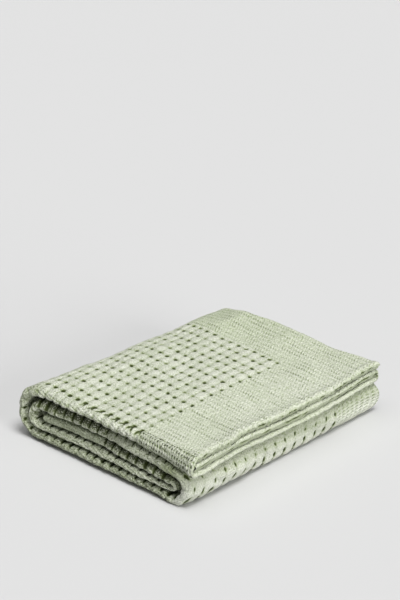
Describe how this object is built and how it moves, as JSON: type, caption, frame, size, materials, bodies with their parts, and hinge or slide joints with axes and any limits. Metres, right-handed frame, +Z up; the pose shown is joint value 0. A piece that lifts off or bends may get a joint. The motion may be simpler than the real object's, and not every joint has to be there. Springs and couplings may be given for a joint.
{
  "type": "folded waffle-weave blanket",
  "caption": "Cotton throw in a waffle weave with dense plain borders, folded in thirds and rolled flat into a low stack.",
  "frame": {"origin": "on the surface that the stack lies on, under the middle of its box", "axes": "+X across the folded band towards its woven side hem, +Y along the band towards the big round fold, +Z up"},
  "size_m": [0.4732, 0.3819, 0.0939],
  "materials": {
    "sage_cotton": "matt, washed and soft"
  },
  "bodies": {
    "root": {"blanket": "sage_cotton"}
  },
  "joints": []
}
